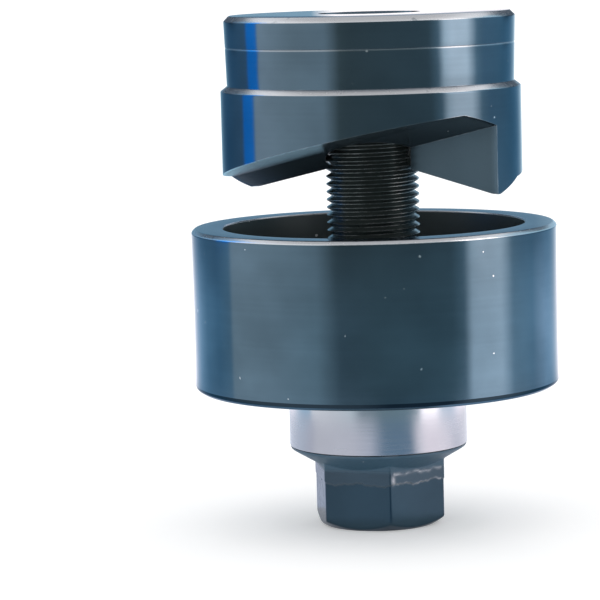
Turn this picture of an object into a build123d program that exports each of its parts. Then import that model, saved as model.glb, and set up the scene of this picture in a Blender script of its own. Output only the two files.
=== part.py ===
from build123d import *

import math
import os

# A knockout punch: a draw stud pulls a fanged punch down into a cup-shaped die and shears a round
# hole in sheet metal. The die stands on a ball thrust bearing, so the stud turns easily under load.
# Millimetres. The axis is Z, and Z = 0 is the end face of the hex head that the tool stands on.

# Hex head of the draw stud. Its end is eased by a shallow dome that cuts the six corners
hex_across_flats = 24.9
hex_height = 13.6
hex_end_inset = 0.8
hex_corner_rise = 1.75
hex_turn = 14.0

# Conical flange that carries the thrust bearing
flange_foot_overhang = 0.8
flange_inset = 0.1
flange_height = 2.85
flange_land = 0.3

# Threaded rod of the draw stud, at the thread's crest
rod_radius = 9.525
rod_end_drop = 2.6
rod_end_chamfer = 1.4

# Balls, the two grooved races and the cage that spaces the balls
ball_radius = 2.3815
ball_count = 14
race_width = 7.6
race_thickness = 4.6
race_edge_chamfer = 1.5
race_bore_chamfer = 0.5
groove_ease = 0.12
groove_depth = 1.0
cage_width = 5.2

# Rolled band that keeps the bearing together
band_wall = 0.8
band_lip_reach = 1.7
band_lip_thickness = 0.4
band_edge_chamfer = 0.3

# Die: the cup whose rim is the lower cutting edge
die_wall = 6.5
die_height = 33.5
die_floor = 7.4
die_rim_chamfer = 0.7
die_foot_fillet = 1.3
die_edge_break = 0.25
die_land_height = 12.0
die_relief = 0.5
die_corner_chamfer = 1.5
die_hole_chamfer = 0.8

# Punch: the cutting end, the bevelled step above it and the slightly tapered shank
cutter_radius = 30.7
cutter_height = 22.1
step_width = 1.35
step_drop = 1.0
shank_height = 14.3
shank_taper = 0.39
shank_edge_chamfer = 1.1
scribe_drop = 6.5
scribe_width = 0.4
scribe_depth = 0.2
bore_chamfer = 1.0

# Cutting face: two opposed ramps, each with a splitting ridge beside the middle plane
ramp_angle = 12.9
ridge_height = 2.8
ridge_width = 9.4
fang_blunt = 0.25

# How far the punch stands open above the die at rest
open_gap = 6.9

# Fits, as radial or axial clearances
punch_in_die = 0.3
rod_in_punch = 0.075
rod_in_lower_race = 0.025
rod_in_bearing = 0.375
race_in_band = 0.3
ball_on_groove = 0.02
ball_in_pocket = 0.07
cage_between_races = 0.5
band_end_gap = 0.1

# Radii of the bearing and the die, from the rod outwards
ball_circle_radius = rod_radius + rod_in_bearing + race_width / 2
band_bore_radius = rod_radius + rod_in_bearing + race_width
band_radius = band_bore_radius + band_wall
flange_radius = band_radius - flange_inset
die_mouth_radius = cutter_radius + punch_in_die
die_radius = die_mouth_radius + die_wall

# Heights that follow from the sizes above
flange_top = hex_height + flange_height
race_gap = 2 * (ball_radius + ball_on_groove - groove_depth)
ball_level = flange_top + race_thickness + race_gap / 2
die_foot = flange_top + 2 * race_thickness + race_gap
die_rim = die_foot + die_height
fang_level = die_rim + open_gap
step_level = fang_level + cutter_height
punch_top = step_level + shank_height
rod_top = punch_top - rod_end_drop


def turned(outline):
    """Solid of revolution about Z, from a closed outline of (radius, height) points."""
    return revolve(make_face(Polyline(*[(r, 0, z) for r, z in outline], close=True)), Axis.Z)


def rim(solid, radius, height):
    """The round edge that a turned solid has at a given radius and height."""
    circles = solid.edges().filter_by(GeomType.CIRCLE)
    return circles.filter_by(
        lambda edge: math.isclose(edge.radius, radius, abs_tol=1e-4)
        and math.isclose(edge.arc_center.Z, height, abs_tol=1e-4)
    )


def hex_head():
    """Hexagon with a domed end. The dome is the ball that passes through the edge of the flat
    end face and through each corner at the height where the corner's edge starts."""
    corner_radius = hex_across_flats / math.sqrt(3)
    end_radius = hex_across_flats / 2 - hex_end_inset
    dome_level = (corner_radius**2 + hex_corner_rise**2 - end_radius**2) / (2 * hex_corner_rise)
    dome = Pos(0, 0, dome_level) * Sphere(math.hypot(end_radius, dome_level))
    hexagon = RegularPolygon(hex_across_flats / 2, 6, major_radius=False, rotation=hex_turn)
    return dome & extrude(hexagon, hex_height)


def draw_stud():
    """One forging: hex head, conical flange and the rod that carries the thread."""
    flange_and_rod = turned(
        [
            (0, hex_height),
            (hex_across_flats / 2 + flange_foot_overhang, hex_height),
            (flange_radius, flange_top - flange_land),
            (flange_radius, flange_top),
            (rod_radius, flange_top),
            (rod_radius, rod_top - rod_end_chamfer),
            (rod_radius - rod_end_chamfer, rod_top),
            (0, rod_top),
        ]
    )
    return hex_head() + flange_and_rod


def race(bore_radius, outer_radius):
    """Grooved washer with its groove upwards and its plain face at Z = 0."""
    groove_radius = ball_radius + groove_ease
    washer = turned(
        [
            (bore_radius + race_bore_chamfer, 0),
            (outer_radius - race_edge_chamfer, 0),
            (outer_radius, race_edge_chamfer),
            (outer_radius, race_thickness),
            (bore_radius, race_thickness),
            (bore_radius, race_bore_chamfer),
        ]
    )
    groove_level = race_thickness + groove_radius - groove_depth
    return washer - Pos(0, 0, groove_level) * Torus(ball_circle_radius, groove_radius)


def lower_race():
    """Race that sits on the stud's flange and turns with it inside the band."""
    washer = race(rod_radius + rod_in_lower_race, band_bore_radius - race_in_band)
    return Pos(0, 0, flange_top) * washer


def upper_race():
    """Race pressed into the band, groove down. The die stands on its flat top."""
    washer = race(rod_radius + rod_in_bearing, band_bore_radius)
    return Pos(0, 0, die_foot) * Rot(180, 0, 0) * washer


def bearing_band():
    """Thin shell round the bearing, rolled in over both races."""
    foot = flange_top + band_end_gap
    top = die_foot - band_end_gap
    lip = band_radius - band_lip_reach
    return turned(
        [
            (lip, foot),
            (band_radius - band_edge_chamfer, foot),
            (band_radius, foot + band_edge_chamfer),
            (band_radius, top - band_edge_chamfer),
            (band_radius - band_edge_chamfer, top),
            (lip, top),
            (lip, top - band_lip_thickness),
            (band_bore_radius, top - band_lip_thickness),
            (band_bore_radius, foot + band_lip_thickness),
            (lip, foot + band_lip_thickness),
        ]
    )


def ball_places():
    """Centres of the balls, evenly round the ball circle."""
    return PolarLocations(ball_circle_radius, ball_count)


def ball_cage():
    """Flat ring with one round pocket for each ball."""
    thickness = race_gap - 2 * cage_between_races
    outer_radius = ball_circle_radius + cage_width / 2
    plate = Cylinder(outer_radius, thickness) - Cylinder(outer_radius - cage_width, thickness)
    pocket = Cylinder(ball_radius + ball_in_pocket, 2 * thickness)
    plate -= [place * pocket for place in ball_places()]
    return Pos(0, 0, ball_level) * plate


def balls():
    """The loose balls, one solid each."""
    return [Pos(0, 0, ball_level) * place * Sphere(ball_radius) for place in ball_places()]


def die():
    """Cup with a hardened cutting land at its mouth, relieved below so that the slug drops."""
    cavity = die_mouth_radius + die_relief
    hole = rod_radius + rod_in_bearing
    floor_top = die_foot + die_floor
    land_foot = die_rim - die_land_height
    cup = turned(
        [
            (hole + die_hole_chamfer, die_foot),
            (die_radius, die_foot),
            (die_radius, die_rim - die_rim_chamfer),
            (die_radius - die_rim_chamfer, die_rim),
            (die_mouth_radius + die_edge_break, die_rim),
            (die_mouth_radius, die_rim - die_edge_break),
            (die_mouth_radius, land_foot),
            (cavity, land_foot - die_relief),
            (cavity, floor_top + die_corner_chamfer),
            (cavity - die_corner_chamfer, floor_top),
            (hole, floor_top),
            (hole, die_foot + die_hole_chamfer),
        ]
    )
    return fillet(rim(cup, die_radius, die_foot), die_foot_fillet)


def ramp_waste():
    """What is ground away under one half of the cutting face, the half with Y below 0.

    The ramp climbs along +X. Its section across X is flat, with a ridge that hangs down beside
    the middle plane and splits the slug. The section is carried along the ramp's own direction.
    """
    slope = math.tan(math.radians(ramp_angle))
    ramp_middle = fang_level - fang_blunt + slope * cutter_radius + ridge_height
    far = 2 * cutter_radius
    section = make_face(
        Polyline(
            (0, 0, ramp_middle - ridge_height),
            (0, -ridge_width, ramp_middle),
            (0, -far, ramp_middle),
            (0, -far, ramp_middle - far),
            (0, 0, ramp_middle - far),
            close=True,
        )
    )
    return extrude(section, far, dir=(1, 0, slope), both=True)


def punch():
    """Hardened block: cutting end with opposed ramps, bevelled step and shank with its bore."""
    bore = rod_radius + rod_in_punch
    shank_foot_radius = cutter_radius - step_width
    scribe_level = punch_top - scribe_drop
    shank_top_radius = shank_foot_radius + shank_taper
    scribe_share = (scribe_level - step_level) / shank_height
    scribe_radius = shank_foot_radius + shank_taper * scribe_share
    block = turned(
        [
            (bore, fang_level),
            (cutter_radius, fang_level),
            (cutter_radius, step_level - step_drop),
            (shank_foot_radius, step_level),
            (scribe_radius, scribe_level - scribe_width / 2),
            (scribe_radius - scribe_depth, scribe_level),
            (scribe_radius, scribe_level + scribe_width / 2),
            (shank_top_radius, punch_top - shank_edge_chamfer),
            (shank_top_radius - shank_edge_chamfer, punch_top),
            (bore + bore_chamfer, punch_top),
            (bore, punch_top - bore_chamfer),
        ]
    )
    waste = ramp_waste()
    return block - waste - Rot(0, 0, 180) * waste


os.makedirs("parts", exist_ok=True)

nodes = {
    "draw_stud": draw_stud(),
    "lower_race": lower_race(),
    "ball_cage": ball_cage(),
    "upper_race": upper_race(),
    "bearing_band": bearing_band(),
    "die": die(),
    "punch": punch(),
}
for number, ball in enumerate(balls(), start=1):
    nodes[f"ball_{number:02d}"] = ball

for name, solid in nodes.items():
    export_step(solid, f"parts/{name}.step")
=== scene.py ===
# %% [markdown]
# # Dressing a knockout punch
#
# A knockout punch cuts a round hole in sheet metal. A draw stud pulls a fanged punch down into a
# cup-shaped die. The solids of this tool already exist at their real size, so this lesson only
# makes what a camera sees: fine surfaces with eased edges, the screw thread, and the black oxide,
# satin steel and brass that the tool is finished in. Shapes are worked out in millimetres and built in
# metres, in the solids' frame.

import math

import bmesh
import bpy
import numpy as np
from mathutils import Matrix, Vector


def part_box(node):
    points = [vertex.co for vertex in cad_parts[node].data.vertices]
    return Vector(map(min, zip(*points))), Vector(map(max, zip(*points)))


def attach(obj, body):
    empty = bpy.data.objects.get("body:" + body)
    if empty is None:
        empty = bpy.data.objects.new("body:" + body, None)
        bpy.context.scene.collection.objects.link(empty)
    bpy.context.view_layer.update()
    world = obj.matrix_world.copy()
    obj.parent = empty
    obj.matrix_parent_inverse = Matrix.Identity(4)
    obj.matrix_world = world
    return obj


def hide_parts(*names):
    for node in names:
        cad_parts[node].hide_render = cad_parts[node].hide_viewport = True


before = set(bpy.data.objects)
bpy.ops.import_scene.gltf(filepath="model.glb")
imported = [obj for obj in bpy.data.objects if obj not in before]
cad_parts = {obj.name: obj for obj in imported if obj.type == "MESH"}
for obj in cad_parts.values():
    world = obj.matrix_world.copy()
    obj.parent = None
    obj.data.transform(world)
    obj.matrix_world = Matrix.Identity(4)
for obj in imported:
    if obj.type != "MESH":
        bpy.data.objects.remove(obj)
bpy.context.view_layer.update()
MM = 0.001

# %% [markdown]
# ## The camera first
#
# A long lens from two thirds of a metre away keeps the cup and the punch almost parallel in the
# picture, as the photograph does. The camera stands a little above the punch and looks down, so the
# rim of the cup opens into an ellipse while the top of the punch stays nearly a line.

# %% Camera
AZIMUTH = math.radians(35.4)
DISTANCE = 0.669
CAMERA_HEIGHT = 0.1221
AIM_HEIGHT = 0.04655
AIM_ASIDE = -0.01553
LENS_MM = 196.0
ROLL = math.radians(-1.48)

toward_camera = Vector((math.sin(AZIMUTH), -math.cos(AZIMUTH), 0.0))
to_the_right = Vector((math.cos(AZIMUTH), math.sin(AZIMUTH), 0.0))
camera_place = toward_camera * DISTANCE + Vector((0, 0, CAMERA_HEIGHT))
aim = to_the_right * AIM_ASIDE + Vector((0, 0, AIM_HEIGHT))
camera_data = bpy.data.cameras.new("camera")
camera_data.lens = LENS_MM
camera_data.sensor_width = 36.0
camera_data.clip_end = 50.0
camera = bpy.data.objects.new("camera", camera_data)
looking = (aim - camera_place).to_track_quat("-Z", "Y").to_matrix().to_4x4()
camera.matrix_world = Matrix.Translation(camera_place) @ looking @ Matrix.Rotation(ROLL, 4, "Z")
bpy.context.scene.collection.objects.link(camera)
bpy.context.scene.camera = camera
print("camera", round(DISTANCE * 1000), "mm away, lens", LENS_MM, "mm")

# %% [markdown]
# ## Surfaces from grids
#
# Most of this tool was turned on a lathe, so most surfaces are a profile carried round an axis. A
# grid of points worked out with numpy gives full control over where the edges lie, and one function
# turns any grid into a mesh. Points that fall together, as at a pole, are merged afterwards.

# %% Grid to mesh
SHARP_ANGLE = math.radians(32)
MERGE_DISTANCE = 0.002 * MM


def full_circle(columns):
    """Even angles round the axis, as one row."""
    return np.linspace(0, 2 * np.pi, columns, endpoint=False)[None, :]


def polar(radius, angle, height):
    """Points (r cos a, r sin a, height), from arrays that broadcast to one grid."""
    return np.stack(np.broadcast_arrays(radius * np.cos(angle), radius * np.sin(angle), height), -1)


def grid_faces(rows, columns, close_rows=False, close_columns=False):
    """Corner numbers of the four-sided faces of a rows by columns grid of points.

    Face (i, j) joins the points (i, j), (i, j+1), (i+1, j+1) and (i+1, j), and a closed
    direction wraps round to its first point.
    """
    i = np.arange(rows if close_rows else rows - 1)[:, None]
    j = np.arange(columns if close_columns else columns - 1)[None, :]
    down = (i + 1) % rows
    across = (j + 1) % columns
    corners = [i * columns + j, i * columns + across, down * columns + across, down * columns + j]
    return np.stack([np.broadcast_to(c, (i.size, j.size)) for c in corners], -1).reshape(-1, 4)


def joined(parts):
    """One set of points and faces out of several (points, faces) pairs."""
    starts = np.cumsum([0] + [points.size // 3 for points, _ in parts])
    all_points = np.concatenate([points.reshape(-1, 3) for points, _ in parts])
    all_faces = np.concatenate([faces + start for (_, faces), start in zip(parts, starts)])
    return all_points, all_faces


def build(name, points, faces, turn_out=True):
    """A mesh object from points in metres and four-sided faces, with points that coincide merged.

    The faces are turned outwards, unless turn_out says that they already are.
    """
    mesh = bpy.data.meshes.new(name)
    mesh.from_pydata(points.reshape(-1, 3).tolist(), [], faces.tolist())
    shape = bmesh.new()
    shape.from_mesh(mesh)
    bmesh.ops.remove_doubles(shape, verts=shape.verts, dist=MERGE_DISTANCE)
    bmesh.ops.dissolve_degenerate(shape, edges=shape.edges, dist=MERGE_DISTANCE / 2)
    if turn_out:
        bmesh.ops.recalc_face_normals(shape, faces=shape.faces)
    shape.to_mesh(mesh)
    shape.free()
    mesh.polygons.foreach_set("use_smooth", np.ones(len(mesh.polygons), bool))
    mesh.set_sharp_from_angle(angle=SHARP_ANGLE)
    piece = bpy.data.objects.new(name, mesh)
    bpy.context.scene.collection.objects.link(piece)
    print(f"{name}: {len(mesh.polygons)} faces")
    return piece


def eased(outline, steps=5):
    """A closed outline of (radius, height, easing) in mm with every corner rounded.

    Each corner P becomes the quadratic curve (1-u)^2 A + 2u(1-u) P + u^2 B, where A and B lie
    on the two runs that meet at P, as far from it as the corner's easing.
    """
    corner = np.array(outline)[:, :2]
    reach = np.array(outline)[:, 2:]
    to_last = np.roll(corner, 1, 0) - corner
    to_next = np.roll(corner, -1, 0) - corner
    start = corner + reach * to_last / np.linalg.norm(to_last, axis=1, keepdims=True)
    end = corner + reach * to_next / np.linalg.norm(to_next, axis=1, keepdims=True)
    u = np.linspace(0, 1, steps)[None, :, None]
    curve = (1 - u) ** 2 * start[:, None] + 2 * u * (1 - u) * corner[:, None] + u**2 * end[:, None]
    return curve.reshape(-1, 2)


def turned(name, outline, columns=360):
    """A closed outline of (radius, height) in mm carried round Z."""
    points = polar(outline[None, :, 0], full_circle(columns).T, outline[None, :, 1])
    return build(name, points * MM, grid_faces(columns, len(outline), True, True))


# %% [markdown]
# ## Sizes
#
# The boxes of the solids give the places, so that each new surface lies on the solid it stands for.
# Only what a box can't tell, such as a chamfer or the slope of a ramp, is written here.

# %% Sizes read from the solids, in millimetres
def lowest(node):
    """The low corner of a solid's box."""
    return np.array(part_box(node)[0]) / MM


def highest(node):
    """The high corner of a solid's box."""
    return np.array(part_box(node)[1]) / MM


DIE_FOOT, DIE_RIM = lowest("die")[2], highest("die")[2]
DIE_RADIUS = highest("die")[0]
FANG_LEVEL, PUNCH_TOP = lowest("punch")[2], highest("punch")[2]
CUTTER_RADIUS = highest("punch")[0]
FLANGE_RADIUS, ROD_TOP = highest("draw_stud")[0], highest("draw_stud")[2]
FLANGE_TOP = lowest("lower_race")[2]
BAND_FOOT, BAND_TOP = lowest("bearing_band")[2], highest("bearing_band")[2]
BAND_RADIUS = highest("bearing_band")[0]
print("punch", round(FANG_LEVEL, 3), "to", round(PUNCH_TOP, 3), "mm; die rim", round(DIE_RIM, 3), "mm")

# %% [markdown]
# ## The die
#
# The cup is turned from bar, hardened and blackened. Its rim has a flat face, a crisp bore edge that
# does the cutting, and an outer edge that was chamfered and then rubbed bright by use. A closed
# profile carried round the axis gives all of it, the floor and its hole included. A few rings stand
# close together above the foot, to hold a thin dark line of painted shade there.

# %% Die
PUNCH_CLEARANCE = 0.3
RELIEF = 0.5
MOUTH_RADIUS = CUTTER_RADIUS + PUNCH_CLEARANCE
CAVITY_RADIUS = MOUTH_RADIUS + RELIEF
DIE_FLOOR_TOP = DIE_FOOT + 7.4
LAND_FOOT = DIE_RIM - 12.0
DIE_HOLE_RADIUS = 9.9
HOLE_CHAMFER = 0.8
FOOT_ROUND = 1.3
RIM_CHAMFER = 0.7
MOUTH_EDGE = 0.25
CAVITY_CORNER = 1.5

die_outline = [
    (DIE_HOLE_RADIUS + HOLE_CHAMFER, DIE_FOOT, 0.2),
    (DIE_RADIUS - FOOT_ROUND, DIE_FOOT, 0.3),
    (DIE_RADIUS - 0.25, DIE_FOOT + 0.7, 0.25),
    (DIE_RADIUS, DIE_FOOT + FOOT_ROUND, 0.1),
    (DIE_RADIUS, DIE_FOOT + 1.45, 0.02),
    (DIE_RADIUS, DIE_FOOT + 1.6, 0.02),
    (DIE_RADIUS, DIE_FOOT + 1.9, 0.02),
    (DIE_RADIUS, DIE_RIM - RIM_CHAMFER, 0.3),
    (DIE_RADIUS - RIM_CHAMFER, DIE_RIM, 0.3),
    (MOUTH_RADIUS + MOUTH_EDGE, DIE_RIM, 0.08),
    (MOUTH_RADIUS, DIE_RIM - MOUTH_EDGE, 0.08),
    (MOUTH_RADIUS, LAND_FOOT, 0.2),
    (CAVITY_RADIUS, LAND_FOOT - RELIEF, 0.2),
    (CAVITY_RADIUS, DIE_FLOOR_TOP + CAVITY_CORNER, 0.4),
    (CAVITY_RADIUS - CAVITY_CORNER, DIE_FLOOR_TOP, 0.4),
    (DIE_HOLE_RADIUS, DIE_FLOOR_TOP, 0.2),
    (DIE_HOLE_RADIUS, DIE_FOOT + HOLE_CHAMFER, 0.2),
]
die = turned("die_shell", eased(die_outline, steps=7), columns=480)

# %% [markdown]
# ## The punch
#
# The cutting end is the interesting surface. Each half is a ramp that climbs across the block, and
# the two ramps climb opposite ways, so a fang stands at each side. Beside the middle plane a ridge
# hangs down and splits what is cut out. A boolean cut would give long thin faces that shade badly, so
# the block is one polar grid instead, with a row of points laid exactly along the ridge's crease.

# %% Punch
SLOPE = math.tan(math.radians(12.9))
RIDGE_HEIGHT = 2.8
RIDGE_WIDTH = 9.4
FANG_BLUNT = 0.25
RAMP_MIDDLE = FANG_LEVEL - FANG_BLUNT + SLOPE * CUTTER_RADIUS + RIDGE_HEIGHT
STEP_LEVEL = FANG_LEVEL + 22.1
SCRIBE_LEVEL = PUNCH_TOP - 6.5
BORE_RADIUS = 9.6
SHANK_TAPER = 0.39
SHANK_FOOT_RADIUS = CUTTER_RADIUS - 1.35
SHANK_TOP_RADIUS = SHANK_FOOT_RADIUS + SHANK_TAPER
SPOKES = 301
WALL_STEPS = 13
FACE_STEPS = 16
HALF_TURN = np.array([-1, -1, 1])


def cutting_face(radius, angle):
    """Height of the cutting face in mm on the half with y above 0.

    It is the middle height, less the slope times x, less the ridge, which falls in a straight line
    from its full height at y = 0 to nothing at the ridge's width. No point lies below the blunt fangs.
    """
    x, y = radius * np.cos(angle), radius * np.sin(angle)
    ridge = RIDGE_HEIGHT * np.clip(1 - y / RIDGE_WIDTH, 0, 1)
    return np.maximum(RAMP_MIDDLE - SLOPE * x - ridge, FANG_LEVEL)


def half_punch():
    """Rows of points down the outside, across the cutting face and up the bore, for y above 0.

    Along each spoke the face has a point where the ridge's crease crosses it, at the ridge's width
    over sin(angle). Rows that have no room there collapse onto a neighbour and merge.
    """
    angle = np.linspace(0, np.pi, SPOKES)[:, None]
    scribe = SHANK_FOOT_RADIUS + SHANK_TAPER * (SCRIBE_LEVEL - STEP_LEVEL) / (PUNCH_TOP - STEP_LEVEL)
    profile = np.array(
        [
            # The bore's chamfer and the flat top
            (BORE_RADIUS, PUNCH_TOP - 1.1),
            (BORE_RADIUS, PUNCH_TOP - 0.95),
            (BORE_RADIUS + 0.95, PUNCH_TOP),
            (BORE_RADIUS + 1.1, PUNCH_TOP),
            (BORE_RADIUS + 10.0, PUNCH_TOP),
            # The shank's upper bevel
            (SHANK_TOP_RADIUS - 1.15, PUNCH_TOP),
            (SHANK_TOP_RADIUS - 1.0, PUNCH_TOP - 0.06),
            (SHANK_TOP_RADIUS - 0.06, PUNCH_TOP - 1.0),
            (SHANK_TOP_RADIUS, PUNCH_TOP - 1.2),
            # The scribed line
            (scribe, SCRIBE_LEVEL + 0.14),
            (scribe - 0.1, SCRIBE_LEVEL + 0.04),
            (scribe - 0.1, SCRIBE_LEVEL - 0.04),
            (scribe, SCRIBE_LEVEL - 0.30),
            # The step's bevel
            (SHANK_FOOT_RADIUS + 0.01, STEP_LEVEL + 0.25),
            (SHANK_FOOT_RADIUS, STEP_LEVEL + 0.02),
            (SHANK_FOOT_RADIUS + 0.12, STEP_LEVEL - 0.08),
            (CUTTER_RADIUS - 0.08, STEP_LEVEL - 0.94),
            (CUTTER_RADIUS, STEP_LEVEL - 1.1),
            (CUTTER_RADIUS, STEP_LEVEL - 1.5),
        ]
    )
    radii = [np.broadcast_to(profile[:, 0], (angle.size, len(profile)))]
    heights = [np.broadcast_to(profile[:, 1], (angle.size, len(profile)))]

    wall_top = RAMP_MIDDLE + SLOPE * CUTTER_RADIUS - RIDGE_HEIGHT
    rim_face = cutting_face(CUTTER_RADIUS, angle)
    rim_split = np.maximum(rim_face, wall_top)
    side_share = np.linspace(0, 1, 7)[None, 1:]
    wall_share = np.linspace(0, 1, WALL_STEPS)[None, 1:]
    heights += [profile[-1, 1] + (rim_split - profile[-1, 1]) * side_share]
    heights += [rim_split + (rim_face - rim_split) * wall_share]
    radii += [np.full((angle.size, side_share.size + wall_share.size), CUTTER_RADIUS)]

    crease = np.clip(RIDGE_WIDTH / np.maximum(np.sin(angle), 1e-9), BORE_RADIUS, CUTTER_RADIUS)
    face_share = np.linspace(1, 0, FACE_STEPS)[None, 1:]
    outward = crease + (CUTTER_RADIUS - crease) * face_share
    inward = BORE_RADIUS + (crease - BORE_RADIUS) * face_share
    face_radii = np.concatenate([outward, inward], 1)
    radii += [face_radii]
    heights += [cutting_face(face_radii, angle)]

    bore_top = RAMP_MIDDLE + SLOPE * BORE_RADIUS - RIDGE_HEIGHT
    bore_face = cutting_face(BORE_RADIUS, angle)
    bore_split = np.maximum(bore_face, bore_top)
    heights += [bore_face + (bore_split - bore_face) * wall_share]
    bore_share = np.linspace(0, 1, 9)[None, 1:-1]
    heights += [bore_split + (profile[0, 1] - bore_split) * bore_share]
    radii += [np.full((angle.size, wall_share.size + bore_share.size), BORE_RADIUS)]
    return polar(np.concatenate(radii, 1), angle, np.concatenate(heights, 1))


def split_wall():
    """The upright wall beside one fang, on the plane y = 0 with x above 0.

    It spans from the far half's ridge, whose height is the middle plus slope times x, down to the
    fang's own ridge, the middle less slope times x, in even steps between the two.
    """
    x = np.linspace(CUTTER_RADIUS, BORE_RADIUS, FACE_STEPS)[:, None]
    share = np.linspace(0, 1, WALL_STEPS)[None, :]
    top = RAMP_MIDDLE - RIDGE_HEIGHT + SLOPE * x
    foot = np.maximum(RAMP_MIDDLE - RIDGE_HEIGHT - SLOPE * x, FANG_LEVEL)
    height = top + (foot - top) * share
    return np.stack(np.broadcast_arrays(x, 0 * height, height), -1)


half, wall = half_punch(), split_wall()
half_faces = grid_faces(*half.shape[:2], close_columns=True)
wall_faces = grid_faces(*wall.shape[:2])
punch_points, punch_faces = joined(
    [
        (half, half_faces),
        (half * HALF_TURN, half_faces),
        (wall, wall_faces),
        (wall * HALF_TURN, wall_faces),
    ]
)
punch = build("punch_block", punch_points * MM, punch_faces)

# %% [markdown]
# ## The thread
#
# A screw thread is a wavy profile that climbs one pitch for each turn. The rows of this grid climb
# with it, so crests and roots lie exactly along mesh edges and stay crisp. After one full turn a row
# meets the row one whole pitch above it, so the grid closes on itself with a shift.

# %% Threaded rod
PITCH = 25.4 / 16
CREST_RADIUS = 9.525
THREAD_DEPTH = 0.96
BORE_THREAD_DEPTH = 0.86
THREAD_FOOT = 44.0
THREAD_COLUMNS = 144
ROD_CHAMFER = 1.4
# How far up one pitch a row lies, and its share of the thread's depth
THREAD_PROFILE = np.array(
    [
        (0.00, 0.00),
        (0.07, 0.00),
        (0.14, 0.08),
        (0.44, 0.92),
        (0.50, 1.00),
        (0.56, 1.00),
        (0.63, 0.92),
        (0.93, 0.08),
    ]
)


def helix_grid(foot, top):
    """Angle, height and depth share of points on a right-hand helix, in rows that climb, and how
    many rows make one pitch.

    Height is the row's own height plus pitch times angle over a full turn, so that the last
    column of a row meets the first column of the row one pitch up. The rows start one pitch low
    and there are two turns more than fit, so that they cover the whole length at every angle.
    """
    turns = int(math.ceil((top - foot) / PITCH)) + 2
    along, depth = THREAD_PROFILE[:, 0], THREAD_PROFILE[:, 1]
    row_height = (foot - PITCH + PITCH * (np.arange(turns)[:, None] + along[None, :])).reshape(-1)
    row_depth = np.broadcast_to(depth, (turns, depth.size)).reshape(-1)
    angle = full_circle(THREAD_COLUMNS)
    height = row_height[:, None] + PITCH * angle / (2 * np.pi)
    return angle, height, row_depth[:, None], depth.size


def helix_faces(rows, columns, shift):
    """Faces of a helix grid. The last column's faces reach the first column, shift rows up."""
    inner = grid_faces(rows, columns)
    row = np.arange(rows - shift - 1)
    seam = np.stack(
        [
            row * columns + columns - 1,
            (row + shift) * columns,
            (row + shift + 1) * columns,
            (row + 1) * columns + columns - 1,
        ],
        -1,
    )
    return np.concatenate([inner, seam])


def threaded_rod():
    """Rod radius: the crest less the thread's depth, which fades in over one pitch at the foot and
    is cut by the cone of the end chamfer at the top. Heights are held between foot and top."""
    angle, height, depth, shift = helix_grid(THREAD_FOOT, ROD_TOP)
    fade = np.clip((height - THREAD_FOOT) / PITCH, 0, 1)
    held = np.clip(height, THREAD_FOOT, ROD_TOP)
    cone = CREST_RADIUS - ROD_CHAMFER + (ROD_TOP - held)
    radius = np.minimum(CREST_RADIUS - THREAD_DEPTH * depth * fade, cone)
    return polar(radius, angle, held), helix_faces(*height.shape, shift)


thread_points, thread_faces = threaded_rod()
print("thread rows", thread_points.shape)

# %% [markdown]
# The rod below the thread is plain, and inside the punch the same profile, a little larger, makes the
# thread of the bore. Both follow one formula, so at any pose the two threads stay in mesh.

# %% Whole rod, and the thread of the bore
def rings(profile):
    """Rings of points, one for each (radius, height) of an open profile, and their faces."""
    radius, height = np.array(profile).T[..., None]
    points = polar(radius, full_circle(THREAD_COLUMNS), height)
    return points, grid_faces(*points.shape[:2], close_columns=True)


ROD_SUNK = FLANGE_TOP - 0.5
rod_foot = rings([(0.0, ROD_SUNK), (CREST_RADIUS, ROD_SUNK), (CREST_RADIUS, THREAD_FOOT)])
rod_end = rings([(CREST_RADIUS - ROD_CHAMFER, ROD_TOP), (0.0, ROD_TOP)])
rod_points, rod_faces = joined([(thread_points, thread_faces), rod_foot, rod_end])
rod = build("stud_rod", rod_points * MM, rod_faces)

SLEEVE_TOP = PUNCH_TOP - 1.1
SLEEVE_GAP = 0.35
SLEEVE_INSET = 0.01
RUN_OUT = 0.7
CREST_SHARPNESS = 1.08
BORE_THREAD_FOOT = FANG_LEVEL + 2.0


def bore_thread():
    """Sleeve between the punch's bore wall and its thread crests, which point inwards.

    Its first row lies a whole number of pitches above the rod's, so the two threads are in mesh:
    where the rod's thread is deepest, the sleeve reaches furthest in, with a running clearance.
    Rows are held between the bore's chamfer and a little above the cutting face, and the thread
    runs out towards both.
    """
    foot = THREAD_FOOT + PITCH * round((BORE_THREAD_FOOT - THREAD_FOOT) / PITCH)
    angle, height, depth, shift = helix_grid(foot, SLEEVE_TOP)
    floor = cutting_face(BORE_RADIUS, angle % np.pi) + SLEEVE_GAP
    held = np.clip(height, floor, SLEEVE_TOP)
    fade = np.clip((height - floor) / RUN_OUT, 0, 1) * np.clip((SLEEVE_TOP - height) / RUN_OUT, 0, 1)
    reach = BORE_THREAD_DEPTH * np.minimum(depth * CREST_SHARPNESS, 1) * fade
    return polar(BORE_RADIUS - SLEEVE_INSET - reach, angle, held), helix_faces(*height.shape, shift)


sleeve_points, sleeve_faces = bore_thread()
sleeve = build("punch_thread", sleeve_points * MM, sleeve_faces[:, ::-1], turn_out=False)

# %% [markdown]
# ## The head of the stud
#
# The hex was forged and its end domed on a lathe. A p-norm blends the six flats and the dome
# into one radius for every angle and height, which eases all the corners a little, as forging and
# years of wrenches do. The cone above it carries the thrust bearing.

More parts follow.
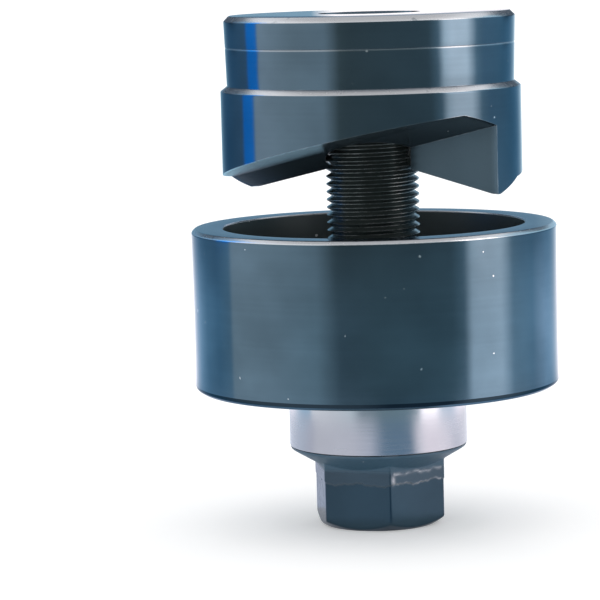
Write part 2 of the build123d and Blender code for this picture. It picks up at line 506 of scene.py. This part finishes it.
# %% Hex head and conical flange
APOTHEM = 12.3
HEX_FACET = math.radians(-76.0)
RIGHT_FACET = HEX_FACET + math.pi / 3
NORM = 110
END_RADIUS = APOTHEM - 0.8
CORNER_RISE = 1.75
CONE_SLOPE = 1.72
CONE_EASING = 0.25
CONE_BLUNT = 0.7
CONE_NORM = 70
FLANGE_LAND = 0.3
HEAD_COLUMNS = 720
WEAR_LEVEL = 9.7
WEAR_LEDGE = 0.16
# Levels up the head, and how many rows lie from the level below up to each, both of them counted
HEAD_LEVELS = [(3.5, 32), (8.9, 12), (10.6, 18), (12.4, 7), (FLANGE_TOP - 0.12, 40)]
CORNER_RADIUS = 2 * APOTHEM / math.sqrt(3)
DOME_LEVEL = (CORNER_RADIUS**2 + CORNER_RISE**2 - END_RADIUS**2) / (2 * CORNER_RISE)
DOME_RADIUS = math.hypot(END_RADIUS, DOME_LEVEL)


def head_radius(angle, height):
    """Radius of the head: (sum of (1 / each limit)^p)^(-1/p) over the six flats and the dome.

    A flat's limit is the apothem over the cosine of the angle to its middle, and the dome's is the
    ball's radius at that height.
    """
    middles = HEX_FACET + np.arange(6) * np.pi / 3
    flats = np.clip(np.cos(angle[..., None] - middles), 0, 1) / APOTHEM
    dome = 1 / np.sqrt(DOME_RADIUS**2 - (height - DOME_LEVEL) ** 2)
    worst = np.maximum(flats.max(-1), dome)
    total = ((flats / worst[..., None]) ** NORM).sum(-1) + (dome / worst) ** NORM
    return 1 / (worst * total ** (1 / NORM))


def wear_height(angle):
    """Height in mm of the ragged line that the wrench's socket has worn round the hex."""
    wave = 0.22 * np.sin(9 * angle + 1.0) + 0.12 * np.sin(23 * angle) + 0.07 * np.sin(61 * angle + 2.0)
    return WEAR_LEVEL + wave


def cone_radius(height):
    """Radius of the cone: a straight slope below the flange's edge, eased into it by the soft
    limit R - e ln(1 + exp(drop / e - blunt)), where drop is how far the slope lies inside R."""
    drop = CONE_SLOPE * (FLANGE_TOP - FLANGE_LAND - height)
    return FLANGE_RADIUS - CONE_EASING * np.logaddexp(0, drop / CONE_EASING - CONE_BLUNT)


def hex_head():
    """Rows from the centre of the end face, up the hex, over the cone and in to the rod.

    The hex stands a little proud above the worn line. Where the cone grows out of the hex the two
    radii are blended as (hex^q + cone^q)^(1/q), which leaves the small fillet of a forging.
    """
    angle = full_circle(HEAD_COLUMNS)
    rise = np.zeros(1)
    for level, rows in HEAD_LEVELS:
        rise = np.concatenate([rise, np.linspace(rise[-1], level, rows)[1:]])
    rise = rise[:, None]
    hexagon = head_radius(np.broadcast_to(angle, (rise.size, angle.size)), rise + 0 * angle)
    hexagon = hexagon + WEAR_LEDGE / (1 + np.exp(-(rise - wear_height(angle)) / 0.05))
    cone = np.maximum(cone_radius(rise), 0.1)
    larger = np.maximum(hexagon, cone)
    powers = (hexagon / larger) ** CONE_NORM + (cone / larger) ** CONE_NORM
    side = np.minimum(larger * powers ** (1 / CONE_NORM), FLANGE_RADIUS)
    flange_face = np.array([(FLANGE_RADIUS - 0.1, FLANGE_TOP), (CREST_RADIUS - 1.0, FLANGE_TOP)])
    radius = np.concatenate([0 * side[:1], side[:1] * 0.5, side, flange_face[:, :1] + 0 * angle])
    height = np.concatenate([[[0.0], [0.0]], rise, flange_face[:, 1:]])
    return polar(radius, angle, height)


head_points = hex_head()
head = build("stud_head", head_points * MM, grid_faces(*head_points.shape[:2], close_columns=True))

# %% [markdown]
# ## The bearing band
#
# A thin steel shell is rolled in over the two races of the thrust bearing. It is the only bright part
# of the tool. Its upper and lower edges are rolled round, which gives each a line of light.

# %% Bearing band
BAND_BORE_RADIUS = BAND_RADIUS - 0.8
LIP_RADIUS = BAND_RADIUS - 1.7
LIP_THICKNESS = 0.4
band_outline = [
    (LIP_RADIUS, BAND_FOOT, 0.12),
    (BAND_RADIUS, BAND_FOOT, 0.3),
    (BAND_RADIUS, BAND_TOP, 0.6),
    (LIP_RADIUS, BAND_TOP, 0.12),
    (LIP_RADIUS, BAND_TOP - LIP_THICKNESS, 0.1),
    (BAND_BORE_RADIUS, BAND_TOP - LIP_THICKNESS, 0.1),
    (BAND_BORE_RADIUS, BAND_FOOT + LIP_THICKNESS, 0.1),
    (LIP_RADIUS, BAND_FOOT + LIP_THICKNESS, 0.1),
]
band = turned("band_shell", eased(band_outline))

# %% [markdown]
# ## Floor and light
#
# The world is white, and the floor is a wide pale sheet that glows a little, as a light table does, so
# the object stands in even light from below too. Camera rays see the floor glow a touch more, which
# lifts it to the white of the page and leaves the soft shadow under the tool.

# %% Floor and world
FLOOR_REACH = 6.0
TABLE_GLOW = 0.22
PAGE_GLOW = 0.06


def shader_of(material):
    """The main shader of a material, with its nodes switched on."""
    material.use_nodes = True
    return material.node_tree.nodes["Principled BSDF"]


floor_signs = ((-1, -1), (1, -1), (1, 1), (-1, 1))
floor_corners = [(x * FLOOR_REACH, y * FLOOR_REACH, 0.0) for x, y in floor_signs]
floor_mesh = bpy.data.meshes.new("floor")
floor_mesh.from_pydata(floor_corners, [], [(0, 1, 2, 3)])
floor = bpy.data.objects.new("floor", floor_mesh)
bpy.context.scene.collection.objects.link(floor)
floor_paint = bpy.data.materials.new("floor_paint")
floor_shader = shader_of(floor_paint)
floor_shader.inputs["Base Color"].default_value = (0.88, 0.88, 0.88, 1)
floor_shader.inputs["Roughness"].default_value = 0.9
floor_shader.inputs["Specular IOR Level"].default_value = 0.1
floor_shader.inputs["Emission Color"].default_value = (1, 1, 1, 1)
floor_ray = floor_paint.node_tree.nodes.new("ShaderNodeLightPath")
floor_glow = floor_paint.node_tree.nodes.new("ShaderNodeMath")
floor_glow.operation = "MULTIPLY_ADD"
floor_glow.inputs[1].default_value = PAGE_GLOW
floor_glow.inputs[2].default_value = TABLE_GLOW
floor_paint.node_tree.links.new(floor_ray.outputs["Is Camera Ray"], floor_glow.inputs[0])
floor_paint.node_tree.links.new(floor_glow.outputs[0], floor_shader.inputs["Emission Strength"])
floor_mesh.materials.append(floor_paint)

world = bpy.data.worlds.new("studio")
world.use_nodes = True
world.node_tree.nodes["Background"].inputs["Color"].default_value = (1, 1, 1, 1)
world.node_tree.nodes["Background"].inputs["Strength"].default_value = 1.0
bpy.context.scene.world = world
bpy.context.scene.view_settings.view_transform = "Standard"

# %% [markdown]
# ## Cards round the tool
#
# Polished black oxide has almost no colour of its own: it shows what stands round it. A studio
# photographer rings such a tool with cards. A bright one makes the light strip on each cylinder, a
# dark one the calm band beside it, and blue-grey ones the edges. Here the cards are one bowl, along
# the floor and then up round the tool, whose light changes with the direction. Three tables give its
# light along the floor, low on its wall and high on its wall, and a few patches lie over them. A
# round soft box hangs above for the bevels. Only reflections see the bowl and the box: they hide
# nothing from the camera and throw no shadow.

# %% Bowl of cards and overhead soft box
CARD_DISTANCE = 0.17
CARD_HEIGHT = 0.21
CARD_FOOT = 0.0005
BOWL_HOLE = 0.022
BOWL_COLUMNS = 721
FLOOR_ROWS = 8
WALL_ROWS = 43
# Degrees to the right of the camera's side of the tool, then red, green and blue light
UPPER_CARDS = np.array(
    [
        (-180, 0.45, 0.80, 0.95),
        (-150, 0.38, 0.66, 0.85),
        (-106, 0.28, 0.52, 0.76),
        (-93, 0.60, 0.95, 1.20),
        (-91, 1.48, 1.48, 1.52),
        (-60, 1.10, 1.15, 1.17),
        (-33, 1.00, 1.08, 1.12),
        (-22, 0.24, 0.29, 0.28),
        (-15, 0.19, 0.24, 0.24),
        (43, 0.20, 0.29, 0.32),
        (51, 0.45, 0.65, 0.75),
        (56, 2.70, 2.55, 2.50),
        (62, 3.50, 3.10, 3.00),
        (76, 3.40, 3.05, 2.95),
        (86, 0.60, 0.85, 1.00),
        (95, 0.42, 0.70, 0.92),
        (123, 0.50, 0.85, 1.05),
        (145, 1.10, 1.45, 1.60),
        (180, 1.20, 1.50, 1.70),
    ]
)
LOWER_CARDS = np.array(
    [
        (-180, 0.70, 1.10, 1.35),
        (-166, 0.70, 1.10, 1.35),
        (-160, 3.00, 2.70, 2.70),
        (-150, 3.00, 2.70, 2.70),
        (-137, 2.70, 2.55, 2.65),
        (-120, 0.90, 1.25, 1.50),
        (-106, 0.50, 0.90, 1.20),
        (-93, 0.60, 0.95, 1.20),
        (-91, 1.40, 1.48, 1.52),
        (-60, 1.10, 1.20, 1.25),
        (-33, 0.90, 1.08, 1.15),
        (-20, 0.30, 0.42, 0.48),
        (0, 0.25, 0.38, 0.42),
        (43, 0.26, 0.42, 0.48),
        (51, 0.45, 0.65, 0.75),
        (56, 2.60, 2.55, 2.60),
        (76, 2.90, 2.80, 2.85),
        (86, 0.90, 1.20, 1.40),
        (105, 0.90, 1.25, 1.50),
        (123, 2.80, 2.60, 2.75),
        (143, 3.20, 2.80, 2.70),
        (160, 3.20, 2.80, 2.70),
        (166, 0.70, 1.10, 1.35),
        (180, 0.70, 1.10, 1.35),
    ]
)
FLOOR_CARDS = np.array(
    [
        (-180, 0.95, 1.00, 1.15),
        (-110, 0.78, 0.88, 1.03),
        (-90, 0.80, 0.85, 0.98),
        (-80, 0.93, 0.97, 1.06),
        (-30, 0.93, 0.97, 1.08),
        (-10, 0.80, 0.88, 1.02),
        (6, 0.21, 0.35, 0.50),
        (38, 0.21, 0.35, 0.50),
        (50, 1.25, 1.25, 1.35),
        (60, 1.50, 1.42, 1.52),
        (90, 1.40, 1.34, 1.44),
        (110, 1.05, 1.07, 1.20),
        (180, 1.10, 1.15, 1.25),
    ]
)


def glowing(name, points, faces, colours):
    """Adds a surface that only reflections see, and whose light is a colour for each point."""
    mesh = bpy.data.meshes.new(name)
    mesh.from_pydata(points.reshape(-1, 3).tolist(), [], faces.tolist())
    light = mesh.attributes.new("light", "FLOAT_COLOR", "POINT")
    light.data.foreach_set("color", np.c_[colours.reshape(-1, 3), np.ones(colours.size // 3)].ravel())
    paint = bpy.data.materials.new(name + "_light")
    paint.use_nodes = True
    tree = paint.node_tree
    tree.nodes.clear()
    colour = tree.nodes.new("ShaderNodeAttribute")
    colour.attribute_name = "light"
    glow = tree.nodes.new("ShaderNodeEmission")
    output = tree.nodes.new("ShaderNodeOutputMaterial")
    tree.links.new(colour.outputs["Color"], glow.inputs["Color"])
    tree.links.new(glow.outputs["Emission"], output.inputs["Surface"])
    mesh.materials.append(paint)
    card = bpy.data.objects.new(name, mesh)
    bpy.context.scene.collection.objects.link(card)
    card.visible_camera = False
    card.visible_diffuse = False
    card.visible_shadow = False
    card.visible_transmission = False


def step_up(value, low, high):
    """A ramp from 0 at low to 1 at high, flat outside them."""
    return np.clip((value - low) / (high - low), 0, 1)


turn = np.linspace(-180, 180, BOWL_COLUMNS)
bearing = np.radians(turn)[:, None]
floor_reach = np.linspace(BOWL_HOLE, CARD_DISTANCE, FLOOR_ROWS + 1)[:-1]
wall_rise = np.linspace(CARD_FOOT, CARD_HEIGHT, WALL_ROWS)
reach = np.concatenate([floor_reach, np.full(WALL_ROWS, CARD_DISTANCE)])[:, None]
rise = np.concatenate([np.full(FLOOR_ROWS, CARD_FOOT), wall_rise])[:, None]
outward_axis = np.cos(bearing) * np.array(toward_camera) + np.sin(bearing) * np.array(to_the_right)
card_points = reach[..., None] * outward_axis[None] + rise[..., None] * np.array([0, 0, 1])
upper, lower, floor_level = (
    np.stack([np.interp(turn, table[:, 0], level) for level in table.T[1:]], -1)[None]
    for table in (UPPER_CARDS, LOWER_CARDS, FLOOR_CARDS)
)


def blend(share, first, second):
    """Between two sets of card colours, by a share from 0 to 1 for each point."""
    return first + share[..., None] * (second - first)


def patch(across, first, last, foot):
    """How much of each point of the bowl a patch covers, from 0 to 1.

    It fades in where across, in degrees, passes the range first, and out where it passes the
    range last. Upwards it fades in over foot, a range of heights in metres.
    """
    return step_up(across, *first) * (1 - step_up(across, *last)) * step_up(rise, *foot)


NO_END = (190, 200)
away = np.abs(turn)
# The bright strip is a fifth lighter from 91 mm up
strip_lift = 1 + 0.2 * patch(turn, (50, 56), (84, 92), (0.086, 0.091))
card_colours = blend(1 - step_up(rise, 0.030, 0.062), upper * strip_lift[..., None], lower)
card_colours = blend(1 - step_up(rise, 0.001, 0.012), card_colours, floor_level)
top_glow = np.maximum(
    patch(turn, (164, 168), NO_END, (0.098, 0.102)), patch(-turn, (175, 177), NO_END, (0.098, 0.102))
)
for share, colour in (
    # A narrow blue card at the left, slate behind the tool, near black for the ends of the
    # bevels, and a light card that the flat top of the punch shows
    (patch(turn, (-107, -105), (-94, -92), (0.052, 0.060)), (0.00, 0.85, 2.50)),
    (patch(away, (158, 166), NO_END, (0.046, 0.052)), (0.30, 0.50, 0.66)),
    (patch(away, (120, 130), (162, 166), (0.108, 0.116)), (0.04, 0.09, 0.14)),
    (top_glow, (1.70, 1.60, 1.60)),
):
    card_colours = blend(share, card_colours, np.array(colour))
glowing("card_bowl", card_points, grid_faces(*card_points.shape[:2]), card_colours)

OVERHEAD_RADIUS = 0.50
OVERHEAD_LEVEL = 0.45
OVERHEAD_SPOKES = 48
OVERHEAD_COLOUR = np.array([1.00, 1.00, 1.02])
# Share of the disc's radius, and the light there
OVERHEAD_RINGS = np.array([(0.0, 0.62), (0.4, 0.68), (0.7, 1.2), (1.0, 1.3)])
ring_radius = OVERHEAD_RINGS[:, :1] * OVERHEAD_RADIUS
disc = polar(ring_radius, full_circle(OVERHEAD_SPOKES), OVERHEAD_LEVEL)
disc_light = np.broadcast_to(OVERHEAD_RINGS[:, 1:, None] * OVERHEAD_COLOUR, disc.shape)
glowing("overhead_soft_box", disc, grid_faces(*disc.shape[:2], close_columns=True), disc_light)
print("cards stand", round(CARD_DISTANCE * 1000), "mm from the tool's axis")

# %% [markdown]
# ## Finishes
#
# Hot black oxide is a thin skin of magnetite on turned steel. It keeps the steel's lathe marks and
# its mirror, darkens it to blue-grey, and is the first thing to go where the tool is handled: bevels
# and rims wear through to bare steel, and knocks leave small bright nicks. One builder mixes these
# from noise on Object coordinates, and point attributes say where: worn marks bevels that are rubbed
# bare, matt the dull skin of ground, forged and inner faces, and painted_shade a thin dark line of
# painted shade. The mirror colour at a glancing angle is held down with the shader's specular tint.

# %% Tools for shader nodes
def place(tree, kind, inputs=None, **options):
    """A shader node with its options set, and each input given a value or joined to a socket."""
    made = tree.nodes.new("ShaderNode" + kind)
    for option, value in options.items():
        setattr(made, option, value)
    for socket, value in (inputs or {}).items():
        if isinstance(value, bpy.types.NodeSocket):
            tree.links.new(value, made.inputs[socket])
        else:
            made.inputs[socket].default_value = value
    return made


def math_node(tree, operation, first, second=0.0, clamp=False):
    """The result socket of one arithmetic step on two sockets or numbers."""
    return place(tree, "Math", {0: first, 1: second}, operation=operation, use_clamp=clamp).outputs[0]


def weighted(tree, *terms):
    """The sum of (socket, factor) pairs, each socket times its factor."""
    total = None
    for socket, factor in terms:
        part = math_node(tree, "MULTIPLY", socket, factor)
        total = part if total is None else math_node(tree, "ADD", total, part)
    return total


def remapped(tree, value, low, high, out_low=0.0, out_high=1.0):
    """A socket's value carried from the range low to high onto the range out_low to out_high."""
    inputs = {"Value": value, "From Min": low, "From Max": high, "To Min": out_low, "To Max": out_high}
    return place(tree, "MapRange", inputs).outputs[0]


def mixed_colour(tree, share, first, second):
    """A colour between two, by a share from 0 to 1."""
    mix = place(tree, "Mix", {"Factor": share}, data_type="RGBA")
    for socket, value in ((mix.inputs[6], first), (mix.inputs[7], second)):
        if isinstance(value, bpy.types.NodeSocket):
            tree.links.new(value, socket)
        else:
            socket.default_value = (*value, 1)
    return mix.outputs[2]


def noise(tree, vector, scale, detail=2.0):
    """Noise from 0 to 1, finer as its scale grows."""
    return place(tree, "TexNoise", {"Vector": vector, "Scale": scale, "Detail": detail}).outputs["Fac"]


def new_paint(name):
    """A paint, its shader, its node tree and the socket of Object coordinates in metres."""
    paint = bpy.data.materials.new(name)
    shader = shader_of(paint)
    return paint, shader, paint.node_tree, place(paint.node_tree, "TexCoord").outputs["Object"]


# %% Turned and blackened steel
BARE_STEEL = (0.61, 0.62, 0.64)
# Colour of a thin dark line of painted shade
PAINTED_SHADE_COLOUR = (0.004, 0.010, 0.014)
NICK_CELLS = 420.0
NICK_SIZE = 0.12
RAGGED_GRAIN = 1800.0
RAGGED_SHIFT = 0.7 * MM
EDGE_RADIUS = 0.22 * MM
BUMP_DEPTH = 0.012 * MM


def lathe_marks(tree, position, scale):
    """Noise of radius and height alone, so that it runs round the axis as tool marks do.

    The radius is the square root of x squared plus y squared.
    """
    x, y, z = place(tree, "SeparateXYZ", {"Vector": position}).outputs
    squares = [math_node(tree, "POWER", side, 2) for side in (x, y)]
    radius = math_node(tree, "SQRT", math_node(tree, "ADD", *squares))
    pair = place(tree, "CombineXYZ", {0: radius, 1: z}).outputs[0]
    return noise(tree, pair, scale, 3.0)


def nicks(tree, position, share):
    """Small ragged marks in a share of the cells of a Voronoi pattern, as 0 or 1.

    Each cell's random colour says in its red whether it has a mark, and in its green how large.
    """
    ragged = place(tree, "TexNoise", {"Vector": position, "Scale": RAGGED_GRAIN, "Detail": 2.0})
    shift = place(tree, "VectorMath", {0: ragged.outputs["Color"], 3: RAGGED_SHIFT}, operation="SCALE")
    moved = place(tree, "VectorMath", {0: position, 1: shift.outputs[0]}, operation="ADD").outputs[0]
    cells = place(tree, "TexVoronoi", {"Vector": moved, "Scale": NICK_CELLS})
    chance = place(tree, "SeparateColor", {"Color": cells.outputs["Color"]}).outputs
    reach = math_node(tree, "MULTIPLY", chance[1], NICK_SIZE)
    inside = math_node(tree, "LESS_THAN", cells.outputs["Distance"], reach)
    return math_node(tree, "MULTIPLY", inside, math_node(tree, "LESS_THAN", chance[0], share))


def blackened(
    name, colour, roughness, edge_colour, matt_colour, metal=0.93, wear=0.5, knocks=0.3
):
    """Black oxide: clouded colour, lathe marks, nicks, and bare steel on bevels and sharp edges.

    Sharp edges are found where the normal of a small bevel leaves the surface's own normal.
    """
    paint, shader, tree, position = new_paint(name)
    clouds = noise(tree, position, 55.0, 3.0)
    grain = noise(tree, position, 900.0, 3.0)
    marks = lathe_marks(tree, position, 1500.0)
    spots = nicks(tree, position, knocks)

    soft = place(tree, "Bevel", {"Radius": EDGE_RADIUS}, samples=4).outputs["Normal"]
    flat = place(tree, "NewGeometry").outputs["Normal"]
    bend = place(tree, "VectorMath", {0: soft, 1: flat}, operation="DOT_PRODUCT").outputs["Value"]
    edges = remapped(tree, bend, 0.97, 0.86)
    rubbed = remapped(tree, noise(tree, position, 260.0, 3.0), 0.42, 0.62, 0.25, 1.0)
    edges = math_node(tree, "MULTIPLY", math_node(tree, "MULTIPLY", edges, rubbed), wear)
    bevels = place(tree, "Attribute", attribute_name="worn").outputs["Fac"]
    chipped = remapped(tree, noise(tree, position, 420.0, 4.0), 0.26, 0.34, 0.55, 1.0)
    bare = math_node(tree, "MAXIMUM", edges, math_node(tree, "MULTIPLY", bevels, chipped))
    bare = math_node(tree, "MAXIMUM", bare, math_node(tree, "MULTIPLY", spots, 0.85), clamp=True)

    dark = tuple(0.85 * c for c in colour)
    light = tuple(1.13 * c for c in colour)
    patina = weighted(tree, (clouds, 0.86), (marks, 0.14))
    skin = mixed_colour(tree, remapped(tree, patina, 0.36, 0.62), dark, light)
    # A thin dark line of painted shade, on the points that ask for it
    painted_shade = place(tree, "Attribute", attribute_name="painted_shade").outputs["Fac"]
    skin = mixed_colour(tree, painted_shade, skin, PAINTED_SHADE_COLOUR)
    matt = place(tree, "Attribute", attribute_name="matt").outputs["Fac"]
    skin = mixed_colour(tree, matt, skin, matt_colour)
    tree.links.new(mixed_colour(tree, bare, skin, BARE_STEEL), shader.inputs["Base Color"])
    tree.links.new(remapped(tree, matt, 0.0, 1.0, metal, 0.0), shader.inputs["Metallic"])
    fine = remapped(tree, grain, 0.3, 0.7, roughness * 0.85, roughness * 1.2)
    dulled = weighted(tree, (fine, 1.0), (matt, 0.3), (marks, roughness * 0.25), (bare, 0.16))
    tree.links.new(dulled, shader.inputs["Roughness"])
    height = weighted(tree, (marks, 0.7), (grain, 0.3), (spots, -2.0))
    bump = place(tree, "Bump", {"Height": height, "Strength": 0.25, "Distance": BUMP_DEPTH})
    tree.links.new(bump.outputs["Normal"], shader.inputs["Normal"])
    shader.inputs["Specular Tint"].default_value = (*edge_colour, 1)
    return paint


punch_oxide = blackened(
    "punch_black_oxide",
    colour=(0.080, 0.120, 0.155),
    roughness=0.09,
    edge_colour=(0.35, 0.42, 0.50),
    matt_colour=(0.045, 0.075, 0.090),
    knocks=0.10,
)
die_oxide = blackened(
    "die_black_oxide",
    colour=(0.080, 0.122, 0.158),
    roughness=0.10,
    edge_colour=(0.38, 0.46, 0.54),
    matt_colour=(0.055, 0.062, 0.055),
    knocks=0.28,
)
stud_oxide = blackened(
    "stud_black_oxide",
    colour=(0.026, 0.052, 0.073),
    roughness=0.20,
    edge_colour=(0.80, 0.82, 0.90),
    matt_colour=(0.034, 0.086, 0.130),
    metal=0.8,
    wear=0.3,
    knocks=0.08,
)
thread_oxide = blackened(
    "thread_black_oxide",
    colour=(0.050, 0.064, 0.062),
    roughness=0.20,
    edge_colour=(0.70, 0.80, 0.90),
    matt_colour=(0.040, 0.050, 0.050),
    metal=0.6,
    wear=0.7,
    knocks=0.0,
)

# %% [markdown]
# The band was rolled from bright strip and then rubbed with fine cloth, so its mirror is soft and a
# little streaky. Races and balls are ground and polished bearing steel, and the cage is stamped from
# brass sheet. They hide behind the band, but show when the tool is opened.

# %% Bright steel and brass
def bright_metal(name, colour, roughness, streak, edge_colour=(1, 1, 1)):
    """Bare metal: a clouded colour, and roughness that varies with lathe marks and fine grain."""
    paint, shader, tree, position = new_paint(name)
    clouds = noise(tree, position, 120.0, 3.0)
    marks = lathe_marks(tree, position, 2600.0)
    grain = noise(tree, position, 1400.0, 2.0)
    dark = tuple(0.90 * c for c in colour)
    light = tuple(min(1.06 * c, 1.0) for c in colour)
    tree.links.new(mixed_colour(tree, clouds, dark, light), shader.inputs["Base Color"])
    shine = remapped(tree, marks, 0.3, 0.7, roughness - streak, roughness + streak)
    shine = math_node(tree, "ADD", shine, remapped(tree, clouds, 0.35, 0.65, -0.03, 0.05))
    tree.links.new(shine, shader.inputs["Roughness"])
    height = math_node(tree, "ADD", marks, grain)
    bump = place(tree, "Bump", {"Height": height, "Strength": 0.2, "Distance": 0.00001})
    tree.links.new(bump.outputs["Normal"], shader.inputs["Normal"])
    shader.inputs["Metallic"].default_value = 1.0
    shader.inputs["Specular Tint"].default_value = (*edge_colour, 1)
    return paint


band_steel = bright_metal("band_steel", (0.46, 0.46, 0.49), 0.20, 0.05)
bearing_steel = bright_metal("bearing_steel", (0.60, 0.60, 0.62), 0.09, 0.03)
cage_brass = bright_metal("cage_brass", (0.68, 0.47, 0.20), 0.28, 0.06, (1.0, 0.9, 0.6))

# %% [markdown]
# ## Where each finish shows
#
# The attributes are worked out at the points of each mesh, from the radius and height in millimetres
# and the angle. On the turned pieces each picks out a few rings of points. On the hex they follow the
# ragged line that the wrench has worn.

# %% Mark the pieces and put the finishes on
def mark(piece, attribute, share_of):
    """Store a share from 0 to 1 at each point, from its radius and height in mm and its angle."""
    mesh = piece.data
    places = np.empty(len(mesh.vertices) * 3)
    mesh.vertices.foreach_get("co", places)
    x, y, z = places.reshape(-1, 3).T / MM
    share = mesh.attributes.new(attribute, "FLOAT", "POINT")
    share.data.foreach_set("value", share_of(np.hypot(x, y), z, np.arctan2(y, x)).astype(np.float32))


def hump(value, middle, width):
    """The bell curve exp(-((value - middle) / width)^2)."""
    return np.exp(-(((value - middle) / width) ** 2))


def punch_wear(radius, height, angle):
    """The shank's upper bevel, the step's bevel and, more faintly, the bottom of the scribed line,
    each between its own two rings of points."""
    crown = (height > PUNCH_TOP - 1.05) & (radius > SHANK_TOP_RADIUS - 1.05)
    beside_step = (height < STEP_LEVEL - 0.05) & (height > STEP_LEVEL - 0.97)
    step = beside_step & (radius > SHANK_FOOT_RADIUS + 0.1)
    scribe = (np.abs(height - SCRIBE_LEVEL) < 0.05) & (radius > SHANK_FOOT_RADIUS)
    return 1.0 * crown + 1.0 * step + 0.45 * scribe


def die_wear(radius, height, angle):
    """The rim's outer bevel, and a little of the bore's cutting edge."""
    outer = (height > DIE_RIM - 0.75) & (radius > DIE_RADIUS - 0.75)
    inner = (height > DIE_RIM - 0.3) & (radius < MOUTH_RADIUS + 0.3)
    return 0.9 * outer + 0.6 * inner


HALF_FACET = 27


def head_wear(radius, height, angle):
    """The edge of the worn line, and on the facet at the right two wavy rubbed lines and a burr at
    its left edge. HALF_FACET is how far, in degrees, the facet reaches to each side."""
    above = height - wear_height(angle)
    aside = np.degrees(angle - RIGHT_FACET)
    ledge = 0.03 / (1 + np.exp(-above / 0.1)) * (height < 12.6)
    line = 0.07 * hump(above, 0, 0.14)
    wave = 0.22 * np.sin(14 * angle) + 0.1 * np.sin(37 * angle)
    patchy = 0.55 + 0.45 * np.sin(21 * angle + 0.7) * np.sin(8 * angle + 3 * height)
    rubbed = patchy * (0.40 * hump(height, 11.9 + wave, 0.24) + 0.30 * hump(above, 0, 0.2))
    burr = 0.45 * hump(height, 10.7, 0.8) * hump(aside, -HALF_FACET, 1.6)
    return np.clip(ledge + line + (np.abs(aside) < HALF_FACET) * rubbed + burr, 0, 1)


def die_cavity(radius, height, angle):
    """Inside the cup the oxide is dull."""
    return 0.8 * ((radius < CAVITY_RADIUS + 0.1) & (height < DIE_RIM - 0.2))


def die_foot_shade(radius, height, angle):
    """A thin dark line of painted shade along the upper half of the foot's round."""
    foot_line = np.abs(height - (DIE_FOOT + 1.0)) < 0.4
    return 0.75 * (foot_line & (radius > DIE_RADIUS - 0.4))


def forged_cone(radius, height, angle):
    """The cone kept the matt skin of the forging. It fades out over the top of the hex."""
    return np.clip((height - 12.0) / 0.8, 0, 1)


def ground_face(radius, height, angle):
    """The cutting face is ground matt. Its points lie below the shank and inside the rim."""
    return 0.5 * ((height < RAMP_MIDDLE + SLOPE * CUTTER_RADIUS) & (radius < CUTTER_RADIUS - 0.01))


mark(punch, "worn", punch_wear)
mark(punch, "matt", ground_face)
mark(die, "worn", die_wear)
mark(die, "matt", die_cavity)
# Painted shade: a thin dark line just above the die's foot
mark(die, "painted_shade", die_foot_shade)
mark(head, "worn", head_wear)
mark(head, "matt", forged_cone)
for piece, paint in (
    (punch, punch_oxide),
    (sleeve, thread_oxide),
    (die, die_oxide),
    (rod, thread_oxide),
    (head, stud_oxide),
    (band, band_steel),
):
    piece.data.materials.append(paint)
for node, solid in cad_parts.items():
    paint = cage_brass if node == "ball_cage" else bearing_steel
    if node in ("upper_race", "lower_race", "ball_cage") or node.startswith("ball_"):
        for material_slot in solid.material_slots:
            material_slot.material = paint
print("finishes:", [m.name for m in bpy.data.materials if m.name.endswith(("oxide", "steel", "brass"))])

# %% [markdown]
# ## Riding on the bodies
#
# Each new surface moves with the body of the solid that it stands for.

# %% Bodies, and the solids hidden
for piece, body, node, slot in (
    (punch, "punch", "punch", "punch_black_oxide"),
    (sleeve, "punch", "punch", "punch_black_oxide"),
    (die, "die", "die", "die_black_oxide"),
    (rod, "draw_stud", "draw_stud", "stud_black_oxide"),
    (head, "draw_stud", "draw_stud", "stud_black_oxide"),
    (band, "bearing_top", "bearing_band", "band_steel"),
):
    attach(piece, body)
    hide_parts(node)
